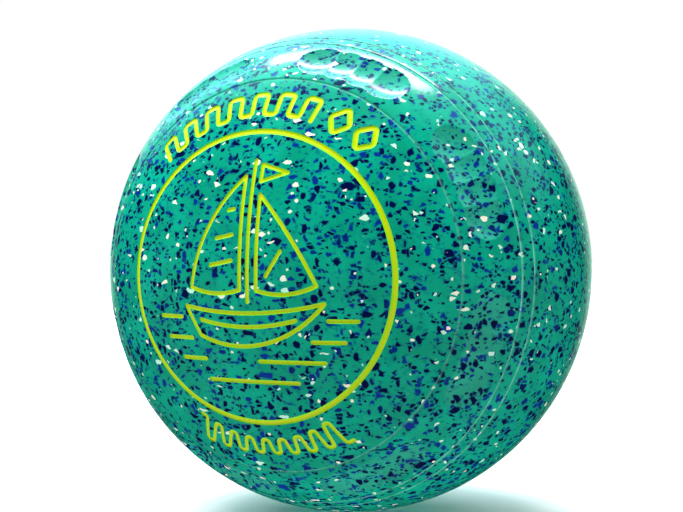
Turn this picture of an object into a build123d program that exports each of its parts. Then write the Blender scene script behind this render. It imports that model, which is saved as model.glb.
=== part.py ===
from build123d import *
import os
from math import atan, cos, degrees, radians, sin

# A lawn bowl: one solid moulded ball of speckled resin, turned to a biased profile, with finger grips,
# turned grooves and engraved artwork. Each engraved channel holds its own bead of set yellow paint.
# Millimetres and degrees. The bowl's axis of symmetry is Y and it stands on its running line, with Z up
# and the origin at the centre of the running circle. The outer side, with the large ring, faces -Y, and
# the bias side, with the small ring, faces +Y.

# Turned profile
RUNNING_RADIUS = 62.0
HALF_WIDTH = 55.75

# Turned grooves, each placed by the angle of its surface normal above the running plane
INNER_GROOVE_ANGLE = 47.0
RUNNING_GROOVE_ANGLES = (26.8, 22.9)
GROOVE_CUTTER_RADIUS = 0.42
GROOVE_DEPTH = 0.32

# Finger grips: groups of overlapping round scoops between the inner groove and the running grooves
GRIP_GROUPS = 8
SCOOPS_PER_GROUP = 4
FIRST_GROUP_AT = 25.8
SCOOP_PITCH = 6.5
SCOOP_ANGLE = 36.8
SCOOP_CUTTER_RADIUS = 14.0
SCOOP_DEPTH = 1.45

# Engraving
CHANNEL_DEPTH = 0.6
PAINT_RECESS = 0.12
FINE_STROKE = 1.0
BOLD_STROKE = 1.3
LARGE_RING_RADIUS = 33.3
SMALL_RING_RADIUS = 17.0
SMALL_EMBLEM_SCALE = 0.5
SMALL_STROKE = 0.65

# Borders, between the large ring and the inner groove
BORDER_RADIUS = 39.8
KEY_LOW = 37.4
KEY_HIGH = 42.2
KEY_CORNER = 0.85
WAVE_CORNER = 0.8

# Depths along the axis between which the artwork's prisms pass right through a cap
PRISM_START = 25.0
PRISM_END = 70.0


def direction(angle):
    return Vector(cos(radians(angle)), sin(radians(angle)))


class Side:
    """One side of the profile: crown, shoulder and cap arcs, each tangent to the next, from line to pole."""

    def __init__(self, name, facing, crown_radius, crown_end, shoulder_radius):
        self.name = name
        self.facing = facing
        crown = Vector(RUNNING_RADIUS - crown_radius, 0)
        shoulder = crown + (crown_radius - shoulder_radius) * direction(crown_end)
        rise = HALF_WIDTH - shoulder.Y - shoulder_radius
        shoulder_end = 90 - 2 * degrees(atan(rise / shoulder.X))
        cap_radius = shoulder_radius + shoulder.X / cos(radians(shoulder_end))
        cap = Vector(0, HALF_WIDTH - cap_radius)
        self.arcs = (
            (crown, crown_radius, 0, crown_end),
            (shoulder, shoulder_radius, crown_end, shoulder_end),
            (cap, cap_radius, shoulder_end, 90),
        )

    def at(self, arc, angle, outwards):
        """(distance from the axis, Y) on one arc, or this far outside it."""
        centre, radius = arc[:2]
        found = centre + (radius + outwards) * direction(angle)
        return Vector(found.X, self.facing * found.Y)

    def point(self, angle, outwards=0):
        """The same, on the arc that holds this angle of the surface normal above the running plane."""
        arc = next(arc for arc in self.arcs if angle <= arc[3])
        return self.at(arc, angle, outwards)

    def outline(self, outwards):
        """The three arcs as edges, from the running line to the pole."""
        edges = []
        for arc in self.arcs:
            start, end = arc[2:]
            through = (start, (start + end) / 2, end)
            edges.append(ThreePointArc(*(self.at(arc, angle, outwards) for angle in through)))
        return edges


# The bias side has the fuller shoulder, which moves the centre of mass off the running plane towards it.
OUTER = Side("outer", -1, crown_radius=60.0, crown_end=29.0, shoulder_radius=44.0)
BIAS = Side("bias", 1, crown_radius=61.5, crown_end=30.0, shoulder_radius=42.0)
SIDES = (OUTER, BIAS)


def ball(outwards=0):
    """The whole turned shape, or one whose surface lies this far outside it."""
    axis_line = Line(*(Vector(0, side.facing * (HALF_WIDTH + outwards)) for side in SIDES))
    half_section = make_face(OUTER.outline(outwards) + BIAS.outline(outwards) + [axis_line])
    return revolve(half_section, axis=Axis.Y)


def groove_cutter(side, angle):
    centre = side.point(angle, outwards=GROOVE_CUTTER_RADIUS - GROOVE_DEPTH)
    return Pos(0, centre.Y, 0) * Rot(90, 0, 0) * Torus(centre.X, GROOVE_CUTTER_RADIUS)


def scoop_cutter(side, around):
    """A sphere over the grip band, turned about the axis from +X towards +Z."""
    centre = side.point(SCOOP_ANGLE, outwards=SCOOP_CUTTER_RADIUS - SCOOP_DEPTH)
    turn = direction(around)
    return Pos(centre.X * turn.X, centre.Y, centre.X * turn.Y) * Sphere(SCOOP_CUTTER_RADIUS)


def surface_cutters(side):
    first_scoop = FIRST_GROUP_AT - SCOOP_PITCH * (SCOOPS_PER_GROUP - 1) / 2
    cutters = [groove_cutter(side, angle) for angle in (INNER_GROOVE_ANGLE, *RUNNING_GROOVE_ANGLES)]
    for group in range(GRIP_GROUPS):
        for scoop in range(SCOOPS_PER_GROUP):
            cutters.append(scoop_cutter(side, first_scoop + 360 * group / GRIP_GROUPS + SCOOP_PITCH * scoop))
    return cutters


# Artwork, drawn in plan as (x, z) seen from outside the bowl with z up. Each engraved line is a band of
# even width with round ends, and no two bands touch.


def stroke(path, width):
    """The face of one engraved line: a band along an open path, or a frame along a closed one."""
    wire = Wire(path.edges() if isinstance(path, Wire) else path)
    outer = make_face(wire.offset_2d(width / 2).edges())
    if wire.is_closed:
        return outer - make_face(wire.offset_2d(-width / 2).edges())
    return outer


def polar(radius, angle):
    along = radius * direction(angle)
    return along.X, along.Y


def ring_art(radius):
    return [Circle(radius + BOLD_STROKE / 2) - Circle(radius - BOLD_STROKE / 2)]


def sail(head, leech, clew, foot, tack, width):
    """A sail outline: curved leech from head to clew, bellied foot to the tack, and a straight luff."""
    return stroke([ThreePointArc(head, leech, clew), ThreePointArc(clew, foot, tack), Line(tack, head)], width)


def mainsail_art(width):
    """The larger sail, with three battens, each given as its height and its reach from the luff."""
    faces = [sail((-1.6, 23.0), (-10.6, 11.2), (-14.8, -2.2), (-8.2, -3.5), (-1.6, -2.6), width)]
    for z, reach in ((15.6, 1.4), (9.8, 4.2), (4.0, 5.6)):
        faces.append(stroke(Line((-3.8, z), (-3.8 - reach, z - 0.2 * reach)), width))
    return faces


def jib_art(width):
    """The smaller sail, with one crease."""
    outline = sail((2.6, 18.8), (10.4, 9.4), (16.8, -1.4), (9.8, -3.4), (2.6, -2.6), width)
    return [outline, stroke(Line((5.0, 0.6), (8.4, 6.2)), width)]


def mast_art(width):
    return [stroke(Line((0.4, 26.6), (0.4, -5.2)), width)]


def pennant_art(width):
    return [stroke(Polyline((2.3, 25.6), (8.6, 23.7), (2.3, 21.8), close=True), width)]


def hull_art(width):
    """A closed hull with a sheer line that lifts towards the bow, and a plank line inside it."""
    stern, bow, heel = (-16.5, -6.6), (18.5, -5.4), (-12.8, -13.2)
    sheer = ThreePointArc(bow, (0.5, -7.8), stern)
    keel = ThreePointArc(heel, (5.6, -14.2), bow)
    plank = ThreePointArc((-12.4, -9.6), (0.8, -10.9), (11.8, -9.2))
    return [stroke([sheer, Line(stern, heel), keel], width), stroke(plank, width)]


def water_art(width):
    """Level water lines to each side of the hull and below it, each given as its height, start and end."""
    lines = (
        (-9.2, -24.6, -18.2),
        (-9.2, 19.2, 25.6),
        (-14.0, -22.4, -15.4),
        (-14.0, 15.4, 22.6),
        (-18.7, -18.6, -12.0),
        (-18.7, 2.4, 17.8),
        (-23.5, -11.4, 11.2),
    )
    return [stroke(Line((start, z), (end, z)), width) for z, start, end in lines]


def emblem_art(width):
    return {
        "hull": hull_art(width),
        "mast": mast_art(width),
        "pennant": pennant_art(width),
        "mainsail": mainsail_art(width),
        "jib": jib_art(width),
        "water_lines": water_art(width),
    }


def key_border_art(start=133.0, legs=14, pitch=4.7):
    """A square wave that runs clockwise over the ring, with rounded corners."""
    points = []
    for leg in range(legs):
        angle = start - pitch * leg
        ends = [polar(KEY_LOW, angle), polar(KEY_HIGH, angle)]
        points += ends if leg % 2 == 0 else reversed(ends)
    return [stroke(FilletPolyline(*points, radius=KEY_CORNER), BOLD_STROKE)]


def diamond_art(angles=(62.5, 52.0), reach=3.1, spread=3.8):
    faces = []
    for angle in angles:
        corners = (
            polar(BORDER_RADIUS + reach, angle),
            polar(BORDER_RADIUS, angle - spread),
            polar(BORDER_RADIUS - reach, angle),
            polar(BORDER_RADIUS, angle + spread),
        )
        faces.append(stroke(FilletPolyline(*corners, radius=KEY_CORNER, close=True), BOLD_STROKE))
    return faces


def wave_border_art(start=-117.0, waves=9, pitch=6.4, crest=2.3):
    """Round waves, tallest at both ends of the line, that run anticlockwise below the ring."""
    points = []
    for wave in range(waves):
        from_middle = abs(2 * wave / (waves - 1) - 1)
        height = 1.7 + 1.3 * from_middle**2
        near = start + pitch * wave
        far = near + pitch / 2
        points += [polar(BORDER_RADIUS - 0.5 - height, angle) for angle in (near, near + crest)]
        points += [polar(BORDER_RADIUS - 0.5 + height, angle) for angle in (far, far + crest)]
    return [stroke(FilletPolyline(*points, radius=WAVE_CORNER), FINE_STROKE)]


def side_art(side):
    """Plan faces by feature. The small emblem is the large one scaled down, with its own stroke width."""
    borders = {
        "key_border": key_border_art(),
        "diamonds": diamond_art(),
        "wave_border": wave_border_art(),
    }
    if side is OUTER:
        return {"ring": ring_art(LARGE_RING_RADIUS), **emblem_art(FINE_STROKE), **borders}
    small = {}
    for feature, faces in emblem_art(SMALL_STROKE / SMALL_EMBLEM_SCALE).items():
        small[feature] = [face.scale(SMALL_EMBLEM_SCALE) for face in faces]
    return {"ring": ring_art(SMALL_RING_RADIUS), **small, **borders}


def prisms(side, faces):
    """Plan faces on a side of the bowl, stood up along the axis as straight-walled prisms."""
    outwards = Vector(0, side.facing, 0)
    plane = Plane(origin=PRISM_START * outwards, x_dir=(-side.facing, 0, 0), z_dir=outwards)
    return [extrude(plane * face, PRISM_END - PRISM_START) for face in faces]


def engraved_bowl():
    """The finished ball and the paint in each of its channels, by node name."""
    core = ball(-CHANNEL_DEPTH)
    cut_layer = ball(CHANNEL_DEPTH) - core
    paint_layer = ball(-PAINT_RECESS) - core
    body = ball() - surface_cutters(OUTER) - surface_cutters(BIAS)
    nodes = {}
    for side in SIDES:
        for feature, faces in side_art(side).items():
            stood = prisms(side, faces)
            body -= [prism & cut_layer for prism in stood]
            beads = [solid for prism in stood for solid in (prism & paint_layer).solids()]
            nodes[f"{side.name}_{feature}_paint"] = Compound(beads)
    nodes["bowl_body"] = body
    return nodes


os.makedirs("parts", exist_ok=True)
for node, shape in engraved_bowl().items():
    export_step(shape, f"parts/{node}.step")
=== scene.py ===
"""Looks for a lawn bowl: a polished ball of speckled resin with finger grips, turned grooves, and engraved
channels that hold beads of yellow paint. Everything is in metres in the frame's own axes: the bowl's axis of
symmetry is Y, Z is up, the outer side faces -Y and the bias side faces +Y."""

from math import atan, cos, degrees, radians, sin

import bmesh
import bpy
import numpy as np
from bpy.props import FloatProperty, FloatVectorProperty, IntProperty, PointerProperty
from mathutils import Matrix, Vector


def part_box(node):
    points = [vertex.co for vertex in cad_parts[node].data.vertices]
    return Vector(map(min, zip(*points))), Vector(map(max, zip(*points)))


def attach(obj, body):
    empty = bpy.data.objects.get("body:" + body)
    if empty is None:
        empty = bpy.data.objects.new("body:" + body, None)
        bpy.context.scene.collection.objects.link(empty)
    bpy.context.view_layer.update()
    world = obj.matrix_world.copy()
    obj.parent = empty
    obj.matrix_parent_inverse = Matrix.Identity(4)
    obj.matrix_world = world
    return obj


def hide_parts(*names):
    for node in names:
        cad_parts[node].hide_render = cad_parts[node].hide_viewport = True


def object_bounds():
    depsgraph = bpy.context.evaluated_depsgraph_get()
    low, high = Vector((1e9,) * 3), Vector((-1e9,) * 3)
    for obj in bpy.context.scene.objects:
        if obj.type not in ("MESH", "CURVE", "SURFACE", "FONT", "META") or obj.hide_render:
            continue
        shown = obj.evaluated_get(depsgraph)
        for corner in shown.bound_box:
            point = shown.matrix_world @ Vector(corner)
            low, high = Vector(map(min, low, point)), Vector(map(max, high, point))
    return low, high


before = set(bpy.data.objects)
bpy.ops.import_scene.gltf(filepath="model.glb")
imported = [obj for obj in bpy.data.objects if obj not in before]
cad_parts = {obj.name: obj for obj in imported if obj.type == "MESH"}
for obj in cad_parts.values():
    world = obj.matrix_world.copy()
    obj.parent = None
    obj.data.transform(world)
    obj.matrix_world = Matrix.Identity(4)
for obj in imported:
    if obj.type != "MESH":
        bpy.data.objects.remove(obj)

bl_info = {
    "name": "Lawn Bowl",
    "version": (1, 0, 0),
    "blender": (4, 5, 0),
    "location": "3D View > Sidebar > Lawn Bowl",
    "description": "Builds a speckled resin lawn bowl with painted engraving, and a plain stage for it",
    "category": "Object",
}

CAD_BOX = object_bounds()
MM = 0.001

# The turned profile, in millimetres and degrees. Each arc is placed by the angle of its surface normal above
# the running plane, which is the plane through the widest circle.
RUNNING_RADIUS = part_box("bowl_body")[1].x / MM
HALF_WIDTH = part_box("bowl_body")[1].y / MM
INNER_GROOVE = 47.0
RUNNING_GROOVES = (26.8, 22.9)
GROOVES = (INNER_GROOVE, *RUNNING_GROOVES)

# Finger grips: groups of overlapping round scoops between the inner groove and the running grooves. None of
# them reaches further than the grip band from the scoops' own angle.
GRIP_GROUPS = 8
FIRST_GROUP_AT = 25.8
SCOOPS_PER_GROUP = 4
SCOOP_PITCH = 6.5
SCOOP_ANGLE = 36.8
SCOOP_CUTTER_RADIUS = 14.0
SCOOP_DEPTH = 1.45
GRIP_BAND = 10.0

# Distances between the surface's rings of points: on the crown, between the running grooves, over the grips
# and on the cap. At each of the cap's reaches from the pole, the rings get fewer points.
CROWN_PITCH = 2.2
LAND_PITCH = 1.2
GRIP_PITCH = 0.5
CAP_PITCH = 2.0
CAP_REACHES = (24, 12, 4)
RINGS_ACROSS_HALF_GROOVE = 3
NORMAL_STEP = 0.02
ON_SURFACE = 0.02

# Engraving. The channels' cutter rises above the surface. The mitre limit holds back steps into a stroke at a
# sharp corner. The beads' levels are shares of half a stroke's width, from the wall to the middle.
CHANNEL_DEPTH = 0.6
CUTTER_RISE = 0.8
OUTLINE_TOLERANCE = 0.003
MITRE_LIMIT = 0.8
BEAD_LEVELS = (0.0, 0.18, 0.42, 0.72)

# Chips in the resin: the size of their cells in millimetres, the part of the cells that hold one, and how the
# cells are turned and stretched.
DARK_CHIPS = (
    (0.85, 0.11, (0.3, 0.9, 0.2), (1.0, 0.7, 1.25)),
    (1.3, 0.28, (1.1, 0.2, 2.0), (0.75, 1.1, 1.35)),
    (1.85, 0.23, (2.3, 1.4, 0.5), (1.35, 0.75, 1.0)),
    (2.55, 0.08, (0.6, 2.2, 1.5), (0.75, 1.2, 1.4)),
)
WHITE_CHIPS = (
    (0.9, 0.016, (0.9, 2.6, 1.2), (1.0, 0.7, 1.1)),
    (1.7, 0.038, (1.7, 0.5, 2.9), (0.75, 1.1, 1.3)),
)
SUNKEN_CHIPS = (1.2, 0.24, (0.4, 1.9, 0.7), (1.0, 0.8, 1.3))

# In shares of a cell: how far a chip reaches from the cell's middle, the least and the greatest gap to the
# cell's edge, how far the cells are bent, and the widths of a chip's edge, a sunken chip's and the halo.
CHIP_REACH = 0.62
CHIP_GAP = (0.03, 0.19)
CHIP_BEND = 0.16
CHIP_EDGE = 0.06
SUNKEN_EDGE = 0.25
CHIP_HALO = 0.16

# How strongly each finish covers the resin, and how deep a grip is where its painted sheen is full. The
# grips' sheen is painted: a paler colour that stands in for the haze their rougher surface catches
SUNKEN_SHARE = 0.55
HALO_SHARE = 0.6
GRIP_SHEEN_SHARE = 0.15
GRIP_SHEEN_DEPTH = 0.25
# The inner groove gets half the roughness and painted sheen of the others
INNER_GROOVE_SHARE = 0.5

# Where the lights and the glows that the bowl mirrors are, as shares of (right, above, back) as the camera
# sees them, and the spread of the suns in degrees
KEY_FROM = (-0.20, 1.0, 0.0)
KEY_SPREAD = 62
CROWN_FROM = (-0.35, 0.75, 0.9)
CROWN_SPREAD = 50
GLOW_FROM = (-0.15, 0.8, 0.6)
SIDE_GLOW_FROM = (0.6, 0.75, 0.2)
STREAK_ENDS = ((-0.33, 0.80, 0.50), (0.38, 0.91, 0.13))
STREAK_DISTANCE = 0.75
STREAK_DEPTH = 0.11

RING_FEATURES = ("ring",)
EMBLEM_FEATURES = ("hull", "mast", "pennant", "mainsail", "jib", "water_lines")
BORDER_FEATURES = ("key_border", "diamonds", "wave_border")
FEATURES = RING_FEATURES + EMBLEM_FEATURES + BORDER_FEATURES


def unit(angle):
    """Unit vector or vectors at an angle in degrees, as a last axis of two."""
    turn = np.radians(angle)
    return np.stack([np.cos(turn), np.sin(turn)], -1)


class Side:
    """One side of the turned profile: crown, shoulder and cap arcs, each tangent to the next."""

    def __init__(self, name, facing, crown_radius, crown_end, shoulder_radius):
        self.name = name
        self.facing = facing
        crown = np.array([RUNNING_RADIUS - crown_radius, 0.0])
        shoulder = crown + (crown_radius - shoulder_radius) * unit(crown_end)
        rise = HALF_WIDTH - shoulder[1] - shoulder_radius
        shoulder_end = 90 - 2 * degrees(atan(rise / shoulder[0]))
        cap_radius = shoulder_radius + shoulder[0] / cos(radians(shoulder_end))
        cap = np.array([0.0, HALF_WIDTH - cap_radius])
        self.centres = np.array([crown, shoulder, cap])
        self.radii = np.array([crown_radius, shoulder_radius, cap_radius])
        self.ends = np.array([crown_end, shoulder_end])

    def radius_at(self, angle):
        return self.radii[np.searchsorted(self.ends, angle)]

    def profile(self, angle):
        """(distance from the axis, height above the running plane) where the normal has this angle."""
        arc = np.searchsorted(self.ends, angle)
        return self.centres[arc] + self.radii[arc][..., None] * unit(angle)

    def angle_of(self, points):
        """Normal angle of the profile under each point near the surface."""
        away = np.hypot(points[:, 0], points[:, 2])
        from_centres = np.stack([away, np.abs(points[:, 1])], -1)[:, None] - self.centres
        crown, shoulder, cap = np.degrees(np.arctan2(from_centres[..., 1], from_centres[..., 0])).T
        return np.where(crown <= self.ends[0], crown, np.where(shoulder <= self.ends[1], shoulder, cap))

    def height_over(self, away, inset):
        """Height of a shape that lies this far inside the turned one, over the shoulder and the cap."""
        radii = self.radii - inset
        shoulder, cap = (
            centre[1] + np.sqrt(np.clip(radius**2 - (away - centre[0]) ** 2, 0, None))
            for radius, centre in zip(radii[1:], self.centres[1:])
        )
        return np.where(away <= radii[2] * cos(radians(self.ends[1])), cap, shoulder)


OUTER = Side("outer", -1, crown_radius=60.0, crown_end=29.0, shoulder_radius=44.0)
BIAS = Side("bias", 1, crown_radius=61.5, crown_end=30.0, shoulder_radius=42.0)
SIDES = (OUTER, BIAS)


def smooth_max(a, b, blend):
    """The greater of two depths, rounded over where they differ by less than blend."""
    near = np.clip(blend - np.abs(a - b), 0, None) / blend
    return np.maximum(a, b) + near**2 * blend / 4


def scoop_depth(side, angle, turn, crest, lip):
    """Depth of the finger grips under points of the turned shape, with soft crests and lips."""
    pitch = 360 / GRIP_GROUPS
    local = (turn - FIRST_GROUP_AT + pitch / 2) % pitch - pitch / 2
    away, height = side.profile(angle).T
    around = unit(local)
    point = np.stack([away * around[:, 0], height, away * around[:, 1]], -1)
    lean = unit(angle)
    normal = np.stack([lean[:, 0] * around[:, 0], lean[:, 1], lean[:, 0] * around[:, 1]], -1)
    over = side.profile(SCOOP_ANGLE) + (SCOOP_CUTTER_RADIUS - SCOOP_DEPTH) * unit(SCOOP_ANGLE)
    clear = -np.ones(len(angle))
    depth = clear
    for scoop in range(SCOOPS_PER_GROUP):
        across = unit(SCOOP_PITCH * (scoop - (SCOOPS_PER_GROUP - 1) / 2))
        offset = point - np.array([over[0] * across[0], over[1], over[0] * across[1]])
        along = (offset * normal).sum(-1)
        within = along**2 - (offset**2).sum(-1) + SCOOP_CUTTER_RADIUS**2
        cut = along + np.sqrt(np.clip(within, 0, None))
        depth = smooth_max(depth, np.where(within > 0, cut, clear), crest)
    return smooth_max(depth, np.zeros(len(angle)), lip)


def groove_share(side, angle, half_width):
    """1 at the middle of a turned groove, falling smoothly to 0 at its lips."""
    share = np.zeros(len(angle))
    for at in GROOVES:
        across = np.radians(angle - at) * side.radius_at(at) / half_width
        share += np.clip(1 - across**2, 0, None) ** 2
    return share


def relief(side, angle, turn, body):
    """Depth of the grooves and grips below the turned shape."""
    depth = body.groove_depth * groove_share(side, angle, body.groove_half_width)
    grips = np.abs(angle - SCOOP_ANGLE) < GRIP_BAND
    depth[grips] += scoop_depth(side, angle[grips], turn[grips], body.crest_softness, body.lip_softness)
    return depth


def surface(side, angle, turn, body):
    """Points of the finished surface, in millimetres."""
    sunk = side.profile(angle) - relief(side, angle, turn, body)[:, None] * unit(angle)
    around = unit(turn)
    return np.stack([sunk[:, 0] * around[:, 0], side.facing * sunk[:, 1], sunk[:, 0] * around[:, 1]], -1)


def surface_normals(side, angle, turn, body):
    """Normals of the finished surface, from points a small step away on all four sides."""
    step = NORMAL_STEP
    up = surface(side, angle + step, turn, body) - surface(side, angle - step, turn, body)
    along = surface(side, angle, turn + step, body) - surface(side, angle, turn - step, body)
    normal = side.facing * np.cross(up, along)
    size = np.linalg.norm(normal, axis=1, keepdims=True)
    pole = np.array([0.0, side.facing, 0.0])
    return np.where(size > 1e-5, normal / np.maximum(size, 1e-12), pole)


def angle_span(side, at, length):
    """Degrees of normal angle that this length of the profile covers."""
    return degrees(length / side.radius_at(at))


def ring_plan(side, body):
    """(normal angle, number of points) for each ring of the surface, from the running plane to the pole."""
    rings = []

    def spread(start, end, pitch, count):
        steps = max(1, round(radians(end - start) * side.radius_at((start + end) / 2) / pitch))
        rings.extend((start + (end - start) * step / steps, count) for step in range(steps))

    def groove(at, count):
        half = angle_span(side, at, body.groove_half_width)
        spread(at - half, at + half, body.groove_half_width / RINGS_ACROSS_HALF_GROOVE, count)

    fine, plain = body.fine_count, body.fine_count // 2
    inner, upper, lower = GROOVES
    half = {at: angle_span(side, at, body.groove_half_width) for at in GROOVES}
    spread(0, lower - half[lower], CROWN_PITCH, plain)
    groove(lower, plain)
    spread(lower + half[lower], upper - half[upper], LAND_PITCH, plain)
    groove(upper, plain)
    spread(upper + half[upper], inner - half[inner], GRIP_PITCH, fine)
    groove(inner, plain)
    cap = [90 - angle_span(side, 90, reach) for reach in CAP_REACHES]
    spread(inner + half[inner], side.ends[1], CAP_PITCH, plain)
    spread(side.ends[1], cap[0], CAP_PITCH, plain)
    spread(cap[0], cap[1], CAP_PITCH, plain // 2)
    spread(cap[1], cap[2], CAP_PITCH, plain // 4)
    rings.append((cap[2], plain // 8))
    return rings


def stitch(low, low_count, high, high_count):
    """Faces between two rings of points, which have equal counts or one has twice as many as the other."""
    faces = []
    for i in range(min(low_count, high_count)):
        j = (i + 1) % min(low_count, high_count)
        if low_count == high_count:
            faces.append((low + i, high + i, high + j, low + j))
        elif low_count > high_count:
            a, b, c = low + 2 * i, low + 2 * i + 1, low + 2 * j
            faces += [(a, high + i, b), (b, high + i, high + j), (b, high + j, c)]
        else:
            a, b, c = high + 2 * i, high + 2 * i + 1, high + 2 * j
            faces += [(low + i, a, b), (low + i, b, low + j), (low + j, b, c)]
    return faces


def turned_shell(body):
    """Points and faces of the whole ball, before its channels are cut. The sides share the running circle."""
    points, faces = [], []
    total = 0
    for side in SIDES:
        rings = ring_plan(side, body)
        starts = []
        for angle, count in rings:
            if angle == 0 and side is not SIDES[0]:
                starts.append(0)
                continue
            turn = np.arange(count) * 360 / count
            points.append(surface(side, np.full(count, angle), turn, body))
            starts.append(total)
            total += count
        made = []
        for i in range(len(rings) - 1):
            made += stitch(starts[i], rings[i][1], starts[i + 1], rings[i + 1][1])
        last = rings[-1][1]
        made += [(starts[-1] + i, total, starts[-1] + (i + 1) % last) for i in range(last)]
        points.append(np.array([[0.0, side.facing * HALF_WIDTH, 0.0]]))
        total += 1
        faces += made if side.facing > 0 else [face[::-1] for face in made]
    return np.concatenate(points), faces


def paint_node(side, feature):
    return f"{side.name}_{feature}_paint"


def depth_below(side, points):
    """How far points lie inside the turned shape, in millimetres."""
    away = np.hypot(points[:, 0], points[:, 2])
    base = side.profile(side.angle_of(points))
    return np.hypot(base[:, 0] - away, base[:, 1] - np.abs(points[:, 1]))


def simplified(side, outline):
    """A closed outline without the points that lie on the line between their neighbours. Points that the
    bowl's curve needs are kept."""
    while len(outline) > 12:
        raised = np.column_stack([outline, side.height_over(np.hypot(*outline.T), 0.0)])
        before, after = np.roll(raised, 1, 0), np.roll(raised, -1, 0)
        aside = np.linalg.norm(np.cross(after - before, raised - before), axis=1)
        drop = aside < OUTLINE_TOLERANCE * np.linalg.norm(after - before, axis=1)
        if drop[::2].any():
            drop[1::2] = False
        if not drop.any():
            break
        outline = outline[~drop]
    return outline


def outlines(side, feature):
    """Closed plan outlines (x, z) of a feature's strokes in millimetres, with the paint on their left as seen
    from outside the bowl. They are read from the top edges of the frame's own paint."""
    mesh = bmesh.new()
    mesh.from_mesh(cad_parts[paint_node(side, feature)].data)
    bmesh.ops.remove_doubles(mesh, verts=mesh.verts, dist=1e-6)
    mesh.verts.index_update()
    depth = depth_below(side, np.array([vert.co for vert in mesh.verts]) / MM)
    top = {face for face in mesh.faces if max(depth[vert.index] for vert in face.verts) < CHANNEL_DEPTH / 2}
    following = {}
    for face in top:
        for corner in face.loops:
            if not all(beside in top for beside in corner.edge.link_faces):
                following[corner.vert] = corner.link_loop_next.vert
    found = []
    while following:
        start, vert = following.popitem()
        ring = [start]
        while vert is not start:
            ring.append(vert)
            vert = following.pop(vert)
        ring.reverse()
        lowest = min(range(len(ring)), key=lambda i: tuple(ring[i].co))
        ring = ring[lowest:] + ring[:lowest]
        found.append(np.array([(vert.co.x, vert.co.z) for vert in reversed(ring)]) / MM)
    mesh.free()
    found.sort(key=lambda outline: tuple(outline[0]))
    return [simplified(side, outline) for outline in found]


def inward_steps(side, outline):
    """Plan steps of unit depth from an outline's points into its stroke, longer at sharp corners."""
    seen = outline * (-side.facing, 1)
    edge = np.roll(seen, -1, 0) - seen
    edge /= np.linalg.norm(edge, axis=1, keepdims=True)
    left = np.stack([-edge[:, 1], edge[:, 0]], -1)
    both = left + np.roll(left, 1, 0)
    square = np.clip((both**2).sum(1, keepdims=True), MITRE_LIMIT, None)
    return 2 * both / square * (-side.facing, 1)


def stroke_half_width(outline_list):
    """Half the width of the strokes that these outlines bound: their area over the length of their edges."""
    area = 0
    length = 0
    for outline in outline_list:
        after = np.roll(outline, -1, 0)
        area += (outline[:, 0] * after[:, 1] - outline[:, 1] * after[:, 0]).sum() / 2
        length += np.linalg.norm(after - outline, axis=1).sum()
    return abs(area) / length


def filled(rows):
    """Triangles over the area between closed outlines, as numbers of their points in order."""
    mesh = bmesh.new()
    edges = []
    for row in rows:
        verts = [mesh.verts.new((*point, 0)) for point in row]
        edges += [mesh.edges.new(pair) for pair in zip(verts, verts[1:] + verts[:1])]
    mesh.verts.index_update()
    made = bmesh.ops.triangle_fill(mesh, use_beauty=True, edges=edges, normal=(0, 0, 1))
    faces = [item for item in made["geom"] if isinstance(item, bmesh.types.BMFace)]
    triangles = [tuple(vert.index for vert in face.verts) for face in faces]
    mesh.free()
    return triangles


def stroke_solid(side, outline_list, levels):
    """Closed solid in the strokes. Each level is (step in from the outline, depth below the turned shape),
    from the edge of its floor, up its wall and over its top to the middle."""
    steps = [inward_steps(side, outline) for outline in outline_list]
    points, faces = [], []
    count = sum(len(outline) for outline in outline_list)
    for step_in, inset in levels:
        plan = np.concatenate([outline + step * step_in for outline, step in zip(outline_list, steps)])
        height = side.height_over(np.hypot(*plan.T), inset)
        points.append(np.stack([plan[:, 0], side.facing * height, plan[:, 1]], -1))
    first = 0
    for outline in outline_list:
        for level in range(len(levels) - 1):
            low, high = first + level * count, first + (level + 1) * count
            for i in range(len(outline)):
                j = (i + 1) % len(outline)
                faces.append((low + i, low + j, high + j, high + i))
        first += len(outline)
    for level in (0, len(levels) - 1):
        edge = points[level][:, ::2]
        rows = np.split(edge, np.cumsum([len(outline) for outline in outline_list])[:-1])
        faces += [tuple(level * count + i for i in triangle) for triangle in filled(rows)]
    return np.concatenate(points), faces


def new_mesh(name, points, faces):
    """A mesh in metres from points in millimetres, with its faces turned outwards."""
    mesh = bpy.data.meshes.new(name)
    mesh.from_pydata((points * MM).tolist(), [], faces)
    shape = bmesh.new()
    shape.from_mesh(mesh)
    bmesh.ops.recalc_face_normals(shape, faces=shape.faces)
    shape.to_mesh(mesh)
    shape.free()
    return mesh


def new_object(name, mesh):
    obj = bpy.data.objects.new(name, mesh)
    bpy.context.scene.collection.objects.link(obj)
    return obj


def read_points(mesh):
    points = np.empty(len(mesh.vertices) * 3)
    mesh.vertices.foreach_get("co", points)
    return points.reshape(-1, 3) / MM


def smooth_where(mesh, normals, chosen):
    """Gives faces whose vertices are all chosen the vertices' own normals, and leaves the others flat."""
    mesh.shade_smooth()
    corner_normals = np.empty((len(mesh.loops), 3))
    for face in mesh.polygons:
        verts = list(face.vertices)
        span = slice(face.loop_start, face.loop_start + face.loop_total)
        corner_normals[span] = normals[verts] if chosen[verts].all() else face.normal
    mesh.normals_split_custom_set(corner_normals.tolist())


def store_values(mesh, name, values):
    attribute = mesh.attributes.new(name, "FLOAT", "POINT")
    attribute.data.foreach_set("value", np.asarray(values, np.float32))


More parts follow.
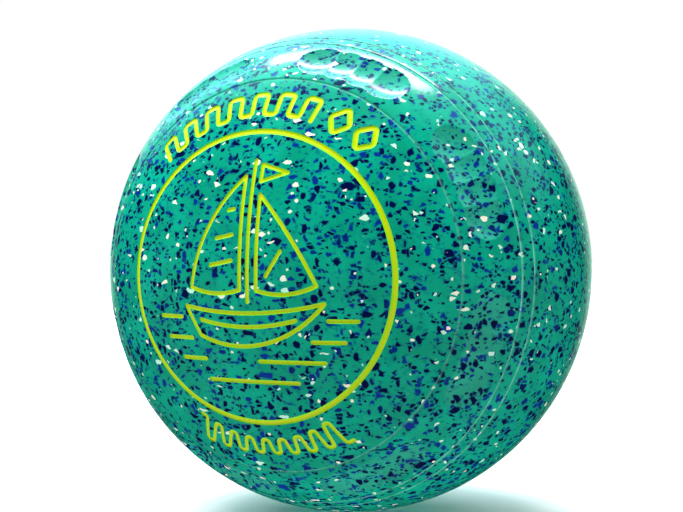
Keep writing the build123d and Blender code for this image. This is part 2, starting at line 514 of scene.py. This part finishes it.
class Nodes:
    """Builds one node tree, where a value for a socket is a plain value or another node's output."""

    def __init__(self, tree):
        self.tree = tree
        tree.nodes.clear()

    def add(self, kind, values=None, **settings):
        node = self.tree.nodes.new(kind)
        for name, value in settings.items():
            setattr(node, name, value)
        for key, value in (values or {}).items():
            self.put(node.inputs[key], value)
        return node

    def put(self, socket, value):
        if isinstance(value, bpy.types.NodeSocket):
            self.tree.links.new(value, socket)
        else:
            socket.default_value = value

    def math(self, operation, *values, clamp=False):
        node = self.add("ShaderNodeMath", operation=operation, use_clamp=clamp)
        for socket, value in zip(node.inputs, values):
            self.put(socket, value)
        return node.outputs[0]

    def vector(self, operation, *values):
        node = self.add("ShaderNodeVectorMath", operation=operation)
        for socket, value in zip(node.inputs, values):
            self.put(socket, value)
        return node.outputs[0]

    def dot(self, first, second):
        node = self.add("ShaderNodeVectorMath", {0: first, 1: second}, operation="DOT_PRODUCT")
        return node.outputs["Value"]

    def scale(self, vector, factor):
        return self.add("ShaderNodeVectorMath", {0: vector, "Scale": factor}, operation="SCALE").outputs[0]

    def remap(self, value, low, high, to_low=0.0, to_high=1.0, smooth=False):
        """value from low..high to to_low..to_high, held at both ends."""
        sockets = {"Value": value, "From Min": low, "From Max": high, "To Min": to_low, "To Max": to_high}
        kind = "SMOOTHSTEP" if smooth else "LINEAR"
        return self.add("ShaderNodeMapRange", sockets, interpolation_type=kind).outputs[0]

    def mix(self, share, first, second):
        node = self.add("ShaderNodeMix", data_type="RGBA")
        self.put(node.inputs[0], share)
        self.put(node.inputs[6], first)
        self.put(node.inputs[7], second)
        return node.outputs[2]

    def noise(self, place, size, detail=2.0, roughness=0.5):
        """Noise value with features of about this size in millimetres."""
        sockets = {"Vector": place, "Scale": 1 / size, "Detail": detail, "Roughness": roughness}
        return self.add("ShaderNodeTexNoise", sockets).outputs["Fac"]

    def noise_vector(self, place, size, reach):
        """Steps of up to about this reach, which bend what is drawn at the stepped place."""
        noise = self.add("ShaderNodeTexNoise", {"Vector": place, "Scale": 1 / size, "Detail": 1.0})
        return self.scale(self.vector("SUBTRACT", noise.outputs["Color"], (0.5, 0.5, 0.5)), 2 * reach)

    def place(self):
        """Position in the bowl, in millimetres, so that patterns run right through it."""
        return self.scale(self.add("ShaderNodeTexCoord").outputs["Object"], 1 / MM)


def chips(nodes, place, crowd, size, share, turn, stretch, soft=CHIP_EDGE):
    """Angular chips of one size through the whole volume. Gives how much of each point they cover, the same
    with a soft halo where a chip lies just under the surface, and a random value for each chip. share is the
    part of the cells that hold a chip, which crowd raises and lowers from place to place."""
    bent = nodes.vector("ADD", place, nodes.noise_vector(place, size * 0.8, size * CHIP_BEND))
    fitted = [factor / size for factor in stretch]
    cells = nodes.add("ShaderNodeMapping", {"Vector": bent, "Rotation": turn, "Scale": fitted}).outputs[0]
    whole = nodes.add("ShaderNodeTexVoronoi", {"Vector": cells, "Scale": 1.0})
    edge = nodes.add("ShaderNodeTexVoronoi", {"Vector": cells, "Scale": 1.0}, feature="DISTANCE_TO_EDGE")
    random = nodes.add("ShaderNodeSeparateColor", {"Color": whole.outputs["Color"]}).outputs
    held = nodes.math("LESS_THAN", random[0], nodes.math("MULTIPLY", crowd, share))
    margin = nodes.remap(random[1], 0.0, 1.0, *CHIP_GAP)
    rounded = nodes.math("SUBTRACT", CHIP_REACH, whole.outputs["Distance"])
    inside = nodes.math("MINIMUM", nodes.math("SUBTRACT", edge.outputs["Distance"], margin), rounded)
    cover = nodes.math("MULTIPLY", held, nodes.remap(inside, 0.0, soft, smooth=True))
    halo = nodes.math("MULTIPLY", held, nodes.remap(inside, -CHIP_HALO, soft, smooth=True))
    return cover, halo, random[2]


def resin_material(name, finish):
    """Polished teal resin with navy, blue and white chips through it. Its grooves and grips get a paler
    colour as painted sheen.
    """
    material = bpy.data.materials.new(name)
    material.use_nodes = True
    nodes = Nodes(material.node_tree)
    place = nodes.place()
    cloud = nodes.noise(place, size=9.0, detail=3.0)
    grain = nodes.noise(place, size=0.45, detail=2.0, roughness=0.6)
    clouded = nodes.remap(cloud, 0.35, 0.65, -0.2, 0.7)
    tone = nodes.math("ADD", clouded, nodes.remap(grain, 0.3, 0.7, 0.0, 0.5))
    colour = nodes.mix(nodes.math("ADD", tone, 0.0, clamp=True), finish.deep_resin, finish.bright_resin)
    grip = nodes.add("ShaderNodeAttribute", attribute_name="grip").outputs["Fac"]
    # Painted sheen: the grips are painted paler than the resin, standing in for the haze that their rougher
    # surface catches
    colour = nodes.mix(nodes.math("MULTIPLY", grip, GRIP_SHEEN_SHARE), colour, finish.grip_painted_sheen)

    crowd = nodes.remap(nodes.noise(place, size=4.5, detail=1.0), 0.35, 0.65, 0.7, 1.3)
    _, sunk, _ = chips(nodes, place, crowd, *SUNKEN_CHIPS, soft=SUNKEN_EDGE)
    colour = nodes.mix(nodes.math("MULTIPLY", sunk, SUNKEN_SHARE), colour, finish.sunken_chip)
    covered = 0.0
    for kind in DARK_CHIPS:
        cover, halo, pick = chips(nodes, place, crowd, *kind)
        colour = nodes.mix(nodes.math("MULTIPLY", halo, HALO_SHARE), colour, finish.sunken_chip)
        navy = nodes.remap(pick, finish.blue_share, finish.blue_share + 0.25)
        colour = nodes.mix(cover, colour, nodes.mix(navy, finish.blue_chip, finish.navy_chip))
        covered = nodes.math("ADD", covered, cover)
    for kind in WHITE_CHIPS:
        cover, _, pick = chips(nodes, place, crowd, *kind)
        colour = nodes.mix(cover, colour, nodes.mix(pick, finish.mint_chip, finish.cream_chip))
        covered = nodes.math("ADD", covered, cover)

    groove = nodes.add("ShaderNodeAttribute", attribute_name="groove").outputs["Fac"]
    # Painted sheen: the grooves are painted pale, standing in for the light that catches along them
    narrow = nodes.math("POWER", groove, 1.2)
    groove_sheen_share = nodes.math("MULTIPLY", narrow, nodes.remap(nodes.noise(place, size=2.5), 0.3, 0.7, 0.35, 0.95))
    colour = nodes.mix(groove_sheen_share, colour, finish.groove_painted_sheen)

    smear = nodes.noise(place, size=6.0, detail=4.0, roughness=0.65)
    rough = nodes.remap(smear, 0.3, 0.7, finish.polish, finish.polish + 0.07)
    rough = nodes.math("ADD", rough, nodes.math("MULTIPLY", groove, 0.22))
    rough = nodes.math("ADD", rough, nodes.math("MULTIPLY", grip, 0.03))
    ripple = nodes.noise(place, size=1.6, detail=2.0)
    height = nodes.math("ADD", nodes.math("MULTIPLY", covered, 0.25), ripple)
    height = nodes.math("ADD", height, nodes.math("MULTIPLY", grain, 0.15))
    bump = nodes.add("ShaderNodeBump", {"Strength": 0.35, "Distance": 0.012 * MM, "Height": height})
    shader = nodes.add("ShaderNodeBsdfPrincipled", {"Base Color": colour, "Roughness": rough})
    nodes.put(shader.inputs["Normal"], bump.outputs[0])
    shader.inputs["IOR"].default_value = 1.52
    shader.inputs["Specular IOR Level"].default_value = 0.5
    nodes.add("ShaderNodeOutputMaterial", {"Surface": shader.outputs[0]})
    return material


def paint_material(name, finish):
    """Glossy yellow-green enamel, painted a little darker and more yellow towards the middle of a stroke as
    shade across its hollow bead.
    """
    material = bpy.data.materials.new(name)
    material.use_nodes = True
    nodes = Nodes(material.node_tree)
    place = nodes.place()
    middle = nodes.add("ShaderNodeAttribute", attribute_name="middle").outputs["Fac"]
    drift = nodes.remap(nodes.noise(place, size=3.0, detail=3.0), 0.3, 0.7, -0.2, 0.2)
    # Painted shade: a stroke's middle gets the darker, shaded colour and its edges the lit one. The drift is
    # random tone
    shade_and_drift = nodes.math("ADD", nodes.math("POWER", middle, 2.0), drift, clamp=True)
    colour = nodes.mix(shade_and_drift, finish.lit_edge_colour, finish.shaded_middle_colour)
    specks = nodes.remap(nodes.noise(place, size=0.35, detail=2.0), 0.62, 0.72)
    colour = nodes.mix(nodes.math("MULTIPLY", specks, 0.25), colour, finish.speck_colour)
    smear = nodes.noise(place, size=1.2, detail=2.0)
    rough = nodes.remap(smear, 0.3, 0.7, finish.gloss, finish.gloss + 0.14)
    height = nodes.noise(place, size=0.5, detail=3.0)
    bump = nodes.add("ShaderNodeBump", {"Strength": 0.5, "Distance": 0.02 * MM, "Height": height})
    shader = nodes.add("ShaderNodeBsdfPrincipled", {"Base Color": colour, "Roughness": rough})
    nodes.put(shader.inputs["Normal"], bump.outputs[0])
    shader.inputs["IOR"].default_value = 1.5
    shader.inputs["Specular IOR Level"].default_value = 0.35
    nodes.add("ShaderNodeOutputMaterial", {"Surface": shader.outputs[0]})
    return material


def floor_material(settings):
    """Matt pale floor with a faint mottle."""
    material = bpy.data.materials.new("stage_floor")
    material.use_nodes = True
    nodes = Nodes(material.node_tree)
    mottle = nodes.noise(nodes.place(), size=40.0, detail=2.0)
    share = nodes.remap(mottle, 0.3, 0.7, 0.0, 0.04)
    colour = nodes.mix(share, settings.floor_colour, settings.mottle_colour)
    shader = nodes.add("ShaderNodeBsdfPrincipled", {"Base Color": colour, "Roughness": 0.8})
    nodes.add("ShaderNodeOutputMaterial", {"Surface": shader.outputs[0]})
    return material


def shared_material(name, make, finish):
    return bpy.data.materials.get(name) or make(name, finish)


def colour_property(name, description, default):
    return FloatVectorProperty(
        name=name, description=description, default=default, size=4, min=0.0, max=1.0, subtype="COLOR"
    )


def length_property(name, description, default):
    return FloatProperty(name=name, description=f"{description}, in millimetres", default=default, min=0.01)


class BowlBodySettings(bpy.types.PropertyGroup):
    """Shape and finish of the resin body."""

    fine_count: IntProperty(
        name="Points Round Grips", description="Points in each ring through the grips", default=720, min=144
    )
    groove_depth: length_property("Groove Depth", "Depth of the turned grooves", 0.32)
    groove_half_width: length_property("Groove Half Width", "From the middle of a groove to its lip", 0.48)
    crest_softness: length_property("Crest Softness", "Rounding of the crests between scoops", 0.05)
    lip_softness: length_property("Lip Softness", "Rounding of the scoops' outer edges", 0.06)
    deep_resin: colour_property("Deep Resin", "Darker part of the resin's mottle", (0.0, 0.29, 0.175, 1.0))
    bright_resin: colour_property("Bright Resin", "Lighter part of the mottle", (0.0, 0.40, 0.255, 1.0))
    sunken_chip: colour_property("Sunken Chip", "Chips just below the surface", (0.0, 0.12, 0.19, 1.0))
    navy_chip: colour_property("Navy Chip", "Most of the dark chips", (0.0, 0.003, 0.055, 1.0))
    blue_chip: colour_property("Blue Chip", "The rest of the dark chips", (0.0, 0.03, 0.26, 1.0))
    mint_chip: colour_property("Mint Chip", "Mintiest of the white chips", (0.48, 0.90, 0.72, 1.0))
    cream_chip: colour_property("Cream Chip", "Creamiest of the white chips", (1.0, 0.92, 0.74, 1.0))
    # Painted sheen: a paler colour over the grips, standing in for the haze their rougher surface catches
    grip_painted_sheen: colour_property("Grip Painted Sheen", "Painted pale sheen over the finger grips", (0.10, 0.50, 0.42, 1.0))
    # Painted sheen: a pale colour in the grooves, standing in for the light that catches along them
    groove_painted_sheen: colour_property("Groove Painted Sheen", "Painted pale sheen in the grooves", (0.20, 0.88, 0.66, 1.0))
    blue_share: FloatProperty(
        name="Blue Share", description="Part of the dark chips that are blue", default=0.2, min=0, max=1,
        subtype="FACTOR",
    )
    polish: FloatProperty(
        name="Polish", description="Roughness of the polished resin", default=0.13, min=0, max=1,
        subtype="FACTOR",
    )


class PaintSettings(bpy.types.PropertyGroup):
    """Shape and finish of the paint in the engraving."""

    edge_inset: length_property("Edge Inset", "Depth of the paint where it meets the channel's wall", 0.10)
    middle_inset: length_property("Middle Inset", "Depth of the paint in the middle of a stroke", 0.28)
    # Lit and shaded copies of the paint, painted across each stroke as shade in its hollow bead
    lit_edge_colour: colour_property("Lit Edge Colour", "Paint beside the walls", (0.28, 0.84, 0.0, 1.0))
    shaded_middle_colour: colour_property("Shaded Middle Colour", "Paint along the middle", (0.60, 0.70, 0.0, 1.0))
    speck_colour: colour_property("Speck Colour", "Specks of pigment", (0.28, 0.40, 0.0, 1.0))
    gloss: FloatProperty(
        name="Gloss", description="Roughness of the glossiest paint", default=0.22, min=0, max=1,
        subtype="FACTOR",
    )


class StageSettings(bpy.types.PropertyGroup):
    """Floor, lights and camera."""

    floor_size: FloatProperty(
        name="Floor Size", description="Width of the floor", default=4.0, min=1, unit="LENGTH"
    )
    floor_colour: colour_property("Floor Colour", "Pale floor", (0.88, 0.88, 0.88, 1.0))
    mottle_colour: colour_property("Mottle Colour", "Faint mottle on the floor", (0.7, 0.7, 0.7, 1.0))
    camera_turn: FloatProperty(
        name="Camera Turn", description="Angle of the camera round the bowl from its outer side",
        default=radians(24.86), subtype="ANGLE",
    )
    camera_distance: FloatProperty(
        name="Camera Distance", description="Level distance from the bowl's middle", default=0.3598,
        unit="LENGTH",
    )
    camera_height: FloatProperty(
        name="Camera Height", description="Above the bowl's middle", default=0.0134, unit="LENGTH"
    )
    camera_look: FloatVectorProperty(
        name="Camera Look", description="Direction in which the camera looks, without roll",
        default=(-0.426, 0.905, -0.027), subtype="DIRECTION",
    )
    lens: FloatProperty(name="Lens", description="Focal length in millimetres", default=72.99, min=20)
    key_light: FloatProperty(
        name="Key Light", description="Strength of the soft light overhead", default=5.8, min=0
    )
    crown_light: FloatProperty(
        name="Crown Light", description="Strength of the light from behind on the bowl's top", default=3.4,
        min=0,
    )
    crown_colour: colour_property("Crown Colour", "Tint of the light from behind", (0.7, 0.95, 1.0, 1.0))
    fill: FloatProperty(
        name="Fill", description="Strength of the even light from above", default=0.72, min=0
    )
    low_fill: FloatProperty(
        name="Low Fill", description="Strength of the even light from below", default=1.6, min=0
    )
    front_share: FloatProperty(
        name="Front Share", description="Share of the even light that is left on the camera's side",
        default=0.42, min=0, max=1, subtype="FACTOR",
    )
    glow: FloatProperty(
        name="Glow", description="Strength of the glow above and behind that the bowl mirrors", default=3.0,
        min=0,
    )
    side_glow: FloatProperty(
        name="Side Glow", description="Strength of the glow up on the right", default=1.5, min=0
    )
    glow_colour: colour_property("Glow Colour", "Tint of the glow", (0.32, 0.88, 1.0, 1.0))
    rim: FloatProperty(
        name="Rim", description="Strength of the light behind that shows round the bowl's edge", default=1.15,
        min=0,
    )
    rim_colour: colour_property("Rim Colour", "Tint of the light behind", (0.62, 1.0, 0.78, 1.0))
    streak_light: FloatProperty(
        name="Streak Light", description="Power of the strip light overhead", default=3.2, unit="POWER"
    )


def cut_channels(body_object):
    """Cuts the channel for every stroke of paint out of the body."""
    points, faces = [], []
    total = 0
    levels = ((0.0, CHANNEL_DEPTH), (0.0, -CUTTER_RISE))
    for side in SIDES:
        for feature in FEATURES:
            solid_points, solid_faces = stroke_solid(side, outlines(side, feature), levels)
            points.append(solid_points)
            faces += [tuple(total + i for i in face) for face in solid_faces]
            total += len(solid_points)
    cutter = new_object("channel_cutter", new_mesh("channel_cutter", np.concatenate(points), faces))
    cut = body_object.modifiers.new("channels", "BOOLEAN")
    cut.operation = "DIFFERENCE"
    cut.solver = "MANIFOLD"
    cut.object = cutter
    evaluated = body_object.evaluated_get(bpy.context.evaluated_depsgraph_get())
    mesh = bpy.data.meshes.new_from_object(evaluated)
    body_object.modifiers.clear()
    shell = body_object.data
    body_object.data = mesh
    bpy.data.meshes.remove(shell)
    bpy.data.objects.remove(cutter)


def finish_body(mesh, settings):
    """Exact normals over the turned surface, flat ones in the channels, and where grooves and grips are."""
    points = read_points(mesh)
    normals = np.zeros_like(points)
    on_surface = np.zeros(len(points), bool)
    groove = np.zeros(len(points))
    grip = np.zeros(len(points))
    for side in SIDES:
        here = points[:, 1] * side.facing >= 0
        angle = side.angle_of(points[here])
        turn = np.degrees(np.arctan2(points[here, 2], points[here, 0]))
        normals[here] = surface_normals(side, angle, turn, settings)
        cut = relief(side, angle, turn, settings)
        on_surface[here] = np.abs(depth_below(side, points[here]) - cut) < ON_SURFACE
        share = groove_share(side, angle, settings.groove_half_width)
        groove[here] = share * np.where(angle > SCOOP_ANGLE, INNER_GROOVE_SHARE, 1.0)
        # How deep the grips are: this raises their roughness and sets the painted sheen over them
        grip[here] = np.clip((cut - settings.groove_depth * share) / GRIP_SHEEN_DEPTH, 0, 1)
    smooth_where(mesh, normals, on_surface)
    store_values(mesh, "groove", groove)
    store_values(mesh, "grip", grip)


def paint_stroke(side, feature, settings):
    """One bead of paint: it climbs a little at the walls of its channel and is hollow along the middle."""
    outline_list = outlines(side, feature)
    half = stroke_half_width(outline_list)
    shares = np.array(BEAD_LEVELS)
    hollow = settings.middle_inset - settings.edge_inset
    insets = settings.edge_inset + hollow * (1 - (1 - shares) ** 2)
    slopes = 2 * hollow * (1 - shares) / half
    levels = [(0.0, CHANNEL_DEPTH), *zip(shares * half, insets)]
    points, faces = stroke_solid(side, outline_list, levels)
    mesh = new_mesh(f"{side.name}_{feature}_bead", points, faces)
    count = len(points) // len(levels)
    base = np.concatenate([inward_steps(side, outline) for outline in outline_list])
    base /= np.linalg.norm(base, axis=1, keepdims=True)
    angle = side.angle_of(points)
    around = unit(np.degrees(np.arctan2(points[:, 2], points[:, 0])))
    lean = unit(angle)
    normals = np.stack([lean[:, 0] * around[:, 0], side.facing * lean[:, 1], lean[:, 0] * around[:, 1]], -1)
    middle = np.zeros(len(points))
    for level, (share, slope) in enumerate(zip(shares, slopes), start=1):
        row = slice(level * count, (level + 1) * count)
        normals[row, ::2] += slope * base
        middle[row] = share / shares[-1]
    normals /= np.linalg.norm(normals, axis=1, keepdims=True)
    smooth_where(mesh, normals, np.arange(len(points)) >= count)
    store_values(mesh, "middle", middle)
    return new_object(mesh.name, mesh)


class BowlBody(bpy.types.Operator):
    """Build the resin body with its grips, grooves and channels"""

    bl_idname = "lawn_bowl.body"
    bl_label = "Resin Body"

    def execute(self, context):
        settings = context.scene.bowl_body
        points, faces = turned_shell(settings)
        body = new_object("speckled_ball", new_mesh("speckled_ball", points, faces))
        cut_channels(body)
        finish_body(body.data, settings)
        body.data.materials.clear()
        body.data.materials.append(shared_material("polished_resin", resin_material, settings))
        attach(body, "root")
        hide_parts("bowl_body")
        return {"FINISHED"}


def paint_features(context, features):
    """Builds the beads of these features on both sides of the bowl."""
    settings = context.scene.bowl_paint
    for side in SIDES:
        for feature in features:
            bead = paint_stroke(side, feature, settings)
            bead.data.materials.append(shared_material("glossy_enamel", paint_material, settings))
            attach(bead, "root")
            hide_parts(paint_node(side, feature))


class RingPaint(bpy.types.Operator):
    """Build the paint in the large and small rings"""

    bl_idname = "lawn_bowl.ring_paint"
    bl_label = "Ring Paint"

    def execute(self, context):
        paint_features(context, RING_FEATURES)
        return {"FINISHED"}


class EmblemPaint(bpy.types.Operator):
    """Build the paint in the sailing boat and its water lines on both sides"""

    bl_idname = "lawn_bowl.emblem_paint"
    bl_label = "Emblem Paint"

    def execute(self, context):
        paint_features(context, EMBLEM_FEATURES)
        return {"FINISHED"}


class BorderPaint(bpy.types.Operator):
    """Build the paint in the arched borders above and below the rings"""

    bl_idname = "lawn_bowl.border_paint"
    bl_label = "Border Paint"

    def execute(self, context):
        paint_features(context, BORDER_FEATURES)
        return {"FINISHED"}


def looking(place, direction):
    """Places a camera or a light, with its own -Z along direction and its Y upwards."""
    return Matrix.Translation(place) @ direction.to_track_quat("-Z", "Y").to_matrix().to_4x4()


def soft_sun(name, place, spread, strength):
    """A sun shining from place on the bowl, spread degrees wide. The bowl doesn't mirror it."""
    light = bpy.data.lights.new(name, "SUN")
    light.energy = strength
    light.angle = radians(spread)
    lamp = new_object(name, light)
    lamp.matrix_world = looking(place, -place)
    lamp.visible_glossy = False
    return light


def strip_light(name, start, end, depth, power):
    """An area light from start to end that shines at the bowl's middle. Only the bowl's gloss shows it."""
    light = bpy.data.lights.new(name, "AREA")
    light.shape = "RECTANGLE"
    light.size = (end - start).length
    light.size_y = depth
    light.energy = power
    lamp = new_object(name, light)
    place = (start + end) / 2
    away = place.normalized()
    across = away.cross(end - start).normalized()
    turned = Matrix((across.cross(away), across, away)).transposed().to_4x4()
    lamp.matrix_world = Matrix.Translation(place) @ turned
    lamp.visible_diffuse = False


def stage_floor(settings):
    """The floor under the bowl. It shows the bowl's shadow, and the world lights the bowl in its place."""
    shape = bmesh.new()
    bmesh.ops.create_grid(shape, x_segments=24, y_segments=24, size=settings.floor_size / 2)
    mesh = bpy.data.meshes.new("stage_floor")
    shape.to_mesh(mesh)
    shape.free()
    mesh.transform(Matrix.Translation((0, 0, CAD_BOX[0].z)))
    mesh.materials.append(floor_material(settings))
    floor = new_object("stage_floor", mesh)
    floor.visible_glossy = False
    floor.visible_diffuse = False


def stage_world(settings, seen):
    """White to look at, with an even light that is dimmer on the camera's side. The bowl mirrors a glow above
    and behind it, one up on the right, and a light behind that shows round its edge. seen turns shares of
    (right, above, back) into the frame's axes."""
    world = bpy.data.worlds.new("studio")
    world.use_nodes = True
    nodes = Nodes(world.node_tree)
    path = nodes.add("ShaderNodeLightPath").outputs
    ray = nodes.add("ShaderNodeTexCoord").outputs["Generated"]
    towards = nodes.dot(ray, (seen @ Vector(GLOW_FROM)).normalized())
    aside = nodes.dot(ray, (seen @ Vector(SIDE_GLOW_FROM)).normalized())
    behind = nodes.dot(ray, seen.col[2])
    height = nodes.add("ShaderNodeSeparateXYZ", {"Vector": ray}).outputs["Z"]
    mirrored, even = path["Is Glossy Ray"], path["Is Diffuse Ray"]
    glow = nodes.remap(towards, 0.66, 1.0, 0.02, settings.glow, smooth=True)
    side_glow = nodes.remap(aside, 0.8, 1.0, 0.0, settings.side_glow, smooth=True)
    glow = nodes.math("MULTIPLY", mirrored, nodes.math("ADD", glow, side_glow))
    rim = nodes.math("MULTIPLY", mirrored, nodes.remap(behind, 0.75, 1.0, 0.0, settings.rim, smooth=True))
    rim = nodes.math("MULTIPLY", rim, nodes.remap(height, -0.35, -0.05))
    fill = nodes.remap(height, -0.15, 0.15, settings.low_fill, settings.fill, smooth=True)
    fill = nodes.math("MULTIPLY", fill, nodes.remap(behind, -1.0, 0.0, settings.front_share, 1.0))
    white = nodes.math("ADD", nodes.math("MULTIPLY", even, fill), path["Is Camera Ray"])
    glow_light = nodes.add("ShaderNodeBackground", {"Color": settings.glow_colour, "Strength": glow})
    rim_light = nodes.add("ShaderNodeBackground", {"Color": settings.rim_colour, "Strength": rim})
    white_light = nodes.add("ShaderNodeBackground", {"Color": (1.0, 1.0, 1.0, 1.0), "Strength": white})
    both = nodes.add("ShaderNodeAddShader", {0: glow_light.outputs[0], 1: rim_light.outputs[0]})
    whole = nodes.add("ShaderNodeAddShader", {0: both.outputs[0], 1: white_light.outputs[0]})
    nodes.add("ShaderNodeOutputWorld", {"Surface": whole.outputs[0]})
    world.cycles.sampling_method = "NONE"
    bpy.context.scene.world = world


def stage_camera(settings, towards_camera):
    data = bpy.data.cameras.new("camera")
    data.lens = settings.lens
    data.clip_start = 0.01
    camera = new_object("camera", data)
    place = towards_camera * settings.camera_distance + Vector((0, 0, settings.camera_height))
    camera.matrix_world = looking(place, Vector(settings.camera_look))
    bpy.context.scene.camera = camera


class Stage(bpy.types.Operator):
    """Build the floor, the lights and the camera"""

    bl_idname = "lawn_bowl.stage"
    bl_label = "Stage"

    def execute(self, context):
        settings = context.scene.bowl_stage
        turn = settings.camera_turn
        towards_camera = Vector((sin(turn), -cos(turn), 0))
        above = Vector((0, 0, 1.0))
        right = above.cross(towards_camera)
        seen = Matrix((right, above, -towards_camera)).transposed()
        stage_floor(settings)
        stage_world(settings, seen)
        soft_sun("key_light", seen @ Vector(KEY_FROM), KEY_SPREAD, settings.key_light)
        crown = soft_sun("crown_light", seen @ Vector(CROWN_FROM), CROWN_SPREAD, settings.crown_light)
        crown.color = settings.crown_colour[:3]
        left_end, right_end = (STREAK_DISTANCE * (seen @ Vector(end)) for end in STREAK_ENDS)
        strip_light("streak_light", left_end, right_end, STREAK_DEPTH, settings.streak_light)
        stage_camera(settings, towards_camera)
        context.scene.view_settings.view_transform = "Standard"
        return {"FINISHED"}


class BowlPanel(bpy.types.Panel):
    """Lists the lawn bowl's pieces and their settings"""

    bl_idname = "VIEW3D_PT_lawn_bowl"
    bl_label = "Lawn Bowl"
    bl_space_type = "VIEW_3D"
    bl_region_type = "UI"
    bl_category = "Lawn Bowl"

    def draw(self, context):
        for operator in OPERATORS:
            self.layout.operator(operator.bl_idname)
        for name, group in SETTINGS.items():
            box = self.layout.box()
            for field in group.__annotations__:
                box.prop(getattr(context.scene, name), field)


OPERATORS = (BowlBody, RingPaint, EmblemPaint, BorderPaint, Stage)
SETTINGS = {"bowl_body": BowlBodySettings, "bowl_paint": PaintSettings, "bowl_stage": StageSettings}


def register():
    for cls in (*SETTINGS.values(), *OPERATORS, BowlPanel):
        bpy.utils.register_class(cls)
    for name, group in SETTINGS.items():
        setattr(bpy.types.Scene, name, PointerProperty(type=group))


def unregister():
    for name in SETTINGS:
        delattr(bpy.types.Scene, name)
    for cls in (BowlPanel, *reversed(OPERATORS), *reversed(SETTINGS.values())):
        bpy.utils.unregister_class(cls)


def main():
    register()
    bpy.ops.lawn_bowl.body()
    bpy.ops.lawn_bowl.ring_paint()
    bpy.ops.lawn_bowl.emblem_paint()
    bpy.ops.lawn_bowl.border_paint()
    bpy.ops.lawn_bowl.stage()


if __name__ == "__main__":
    main()
